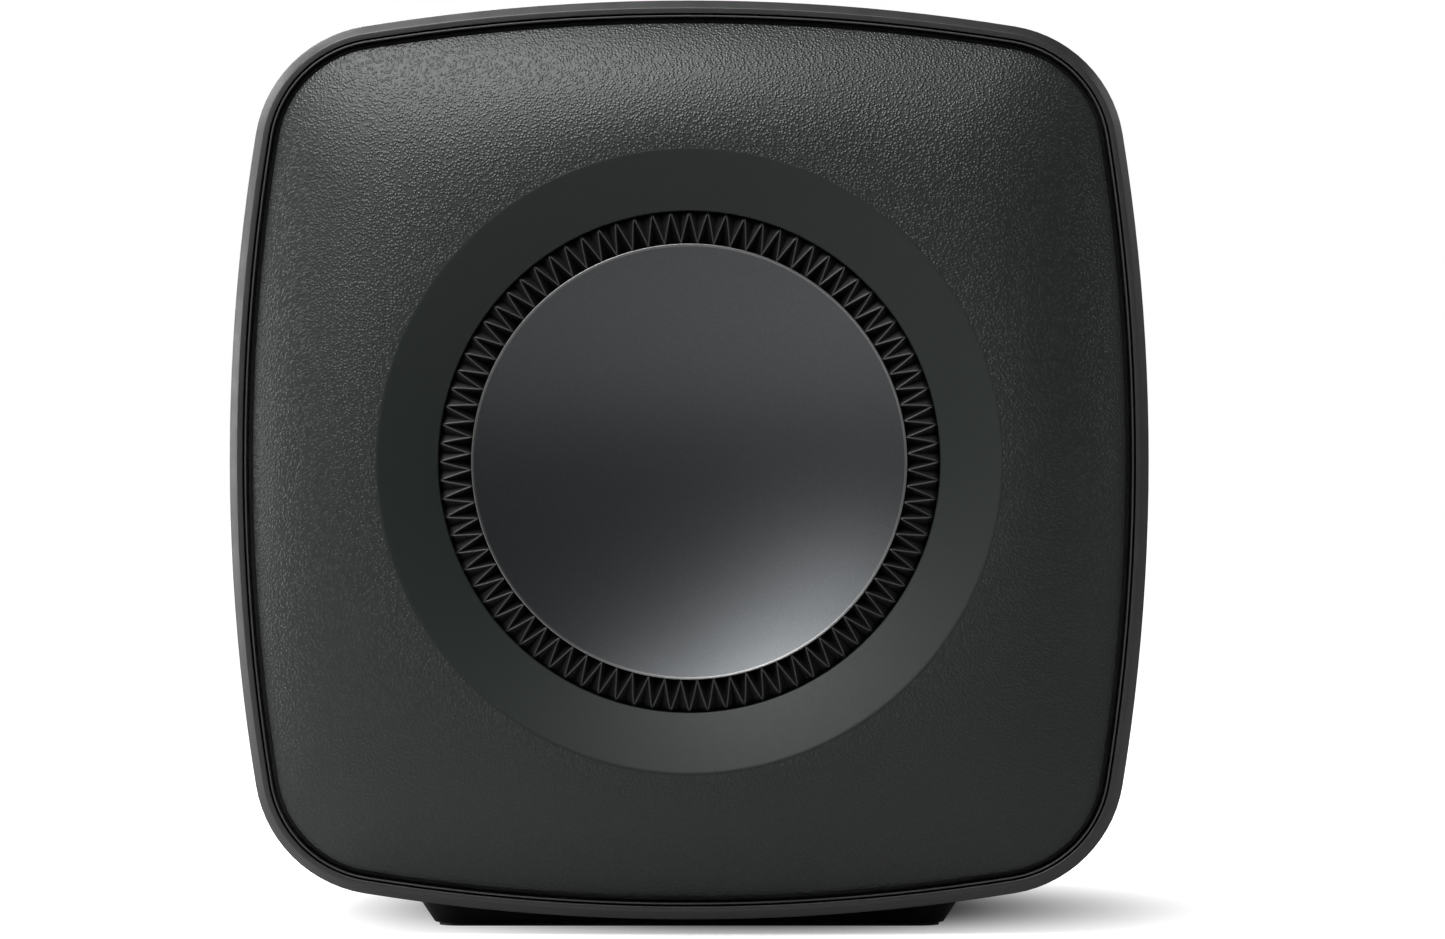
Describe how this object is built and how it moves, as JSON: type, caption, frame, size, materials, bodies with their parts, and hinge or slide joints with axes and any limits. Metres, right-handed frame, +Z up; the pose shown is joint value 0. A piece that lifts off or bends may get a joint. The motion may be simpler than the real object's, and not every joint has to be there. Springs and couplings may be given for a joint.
{
  "type": "powered subwoofer",
  "caption": "Compact cube-shaped powered subwoofer with a bowed metal wrap, domed side panels and opposed dished drivers in pleated surrounds.",
  "frame": {"origin": "middle of the rubber pad's underside, on the surface the object stands on", "axes": "+Z up; the plain front faces -Y and the connector panel faces +Y; the two drivers fire along +X and -X"},
  "size_m": [0.256, 0.248, 0.246],
  "materials": {
    "wrap_metal": "satin graphite lacquer over aluminium",
    "side_panel": "fine pebbled texture paint",
    "trim_ring": "smooth matte",
    "surround_rubber": "matte",
    "cone_metal": "dark anodised satin",
    "seal_rubber": "matte",
    "cast_alloy": "as cast",
    "bare_aluminium": "milled",
    "plated_steel": "zinc plated",
    "black_steel": "blackened",
    "nickel_brass": "bright",
    "ferrite": "ground ferrite",
    "copper_wire": "enamelled copper",
    "spider_cloth": "resin-stiffened cloth",
    "rear_plate": "fine texture black",
    "heatsink_black": "black anodised",
    "knob_plastic": "matte",
    "slider_plastic": "matte",
    "control_bodies": "matte",
    "nickel_plate": "nickel plate",
    "phono_inserts": "moulded",
    "terminal_plastic": "moulded",
    "socket_plastic": "moulded",
    "rocker_plastic": "gloss",
    "circuit_board": "solder mask",
    "capacitor_sleeve": "sleeve",
    "transformer": "varnished",
    "device_epoxy": "epoxy",
    "wire_jacket": "soft",
    "damping_felt": "felt",
    "light_pipe": "clear",
    "plinth_plastic": "satin black",
    "pad_rubber": "matte"
  },
  "bodies": {
    "cabinet": {"amplifier_board": "circuit_board", "aux_sockets": "socket_plastic", "base_pad": "pad_rubber", "base_tray": "cast_alloy", "basket_left": "cast_alloy", "basket_right": "cast_alloy", "board_standoffs": "nickel_brass", "cabinet_wrap": "wrap_metal", "capacitors": "capacitor_sleeve", "damping_pad": "damping_felt", "driver_leads": "wire_jacket", "driver_screws": "black_steel", "edge_seals": "seal_rubber", "end_frames": "cast_alloy", "heat_spreader": "bare_aluminium", "heatsink": "heatsink_black", "inductors": "copper_wire", "input_board": "circuit_board", "magnets": "ferrite", "mains_inlet": "socket_plastic", "motor_spacer": "cast_alloy", "phono_inserts": "phono_inserts", "phono_sockets": "nickel_plate", "plinth": "plinth_plastic", "plinth_screws": "plated_steel", "power_board": "circuit_board", "power_devices": "device_epoxy", "rear_frame": "cast_alloy", "rear_gasket": "seal_rubber", "rear_panel": "rear_plate", "rear_panel_screws": "black_steel", "rocker_frame": "socket_plastic", "rotary_controls": "control_bodies", "side_gaskets": "seal_rubber", "side_panel_left": "side_panel", "side_panel_right": "side_panel", "slide_switch_bodies": "control_bodies", "socket_contacts": "nickel_brass", "speaker_terminal": "terminal_plastic", "spider_left": "spider_cloth", "spider_right": "spider_cloth", "status_light": "light_pipe", "surround_left": "surround_rubber", "surround_right": "surround_rubber", "tie_rods": "plated_steel", "top_plates": "plated_steel", "transformer": "transformer", "trim_ring_left": "trim_ring", "trim_ring_right": "trim_ring", "yokes": "plated_steel"},
    "diaphragm_right": {"cone_right": "cone_metal", "voice_coil_right": "copper_wire"},
    "diaphragm_left": {"cone_left": "cone_metal", "voice_coil_left": "copper_wire"},
    "volume_control": {"volume_knob": "knob_plastic"},
    "crossover_control": {"crossover_knob": "knob_plastic"},
    "eq_control": {"eq_knob": "knob_plastic"},
    "phase_switch": {"phase_slider": "slider_plastic"},
    "mode_switch": {"mode_slider": "slider_plastic"},
    "power_switch": {"power_rocker": "rocker_plastic"}
  },
  "joints": [
    {"name": "diaphragm_right_travel", "type": "slide", "parent": "cabinet", "child": "diaphragm_right", "axis": [1, 0, 0], "range_m": [-0.007, 0.007], "stiffness_N_per_m": 3300, "deforming": ["surround_right", "spider_right"]},
    {"name": "diaphragm_left_travel", "type": "slide", "parent": "cabinet", "child": "diaphragm_left", "axis": [-1, 0, 0], "range_m": [-0.007, 0.007], "stiffness_N_per_m": 3300, "deforming": ["surround_left", "spider_left"]},
    {"name": "volume_turn", "type": "hinge", "parent": "cabinet", "child": "volume_control", "pos_m": [-0.054, 0.12, 0.131], "axis": [0, 1, 0], "range_deg": [-150, 150]},
    {"name": "crossover_turn", "type": "hinge", "parent": "cabinet", "child": "crossover_control", "pos_m": [-0.027, 0.12, 0.131], "axis": [0, 1, 0], "range_deg": [-150, 150]},
    {"name": "eq_turn", "type": "hinge", "parent": "cabinet", "child": "eq_control", "pos_m": [0, 0.12, 0.131], "axis": [0, 1, 0], "range_deg": [-60, 60]},
    {"name": "phase_slide", "type": "slide", "parent": "cabinet", "child": "phase_switch", "axis": [-1, 0, 0], "range_m": [0, 0.004]},
    {"name": "mode_slide", "type": "slide", "parent": "cabinet", "child": "mode_switch", "axis": [-1, 0, 0], "range_m": [0, 0.004]},
    {"name": "power_rock", "type": "hinge", "parent": "cabinet", "child": "power_switch", "pos_m": [0.006, 0.11, 0.065], "axis": [-1, 0, 0], "range_deg": [0, 18]}
  ],
  "couplings": [
    {"joint": "diaphragm_left_travel", "follows": "diaphragm_right_travel", "ratio": 1}
  ]
}
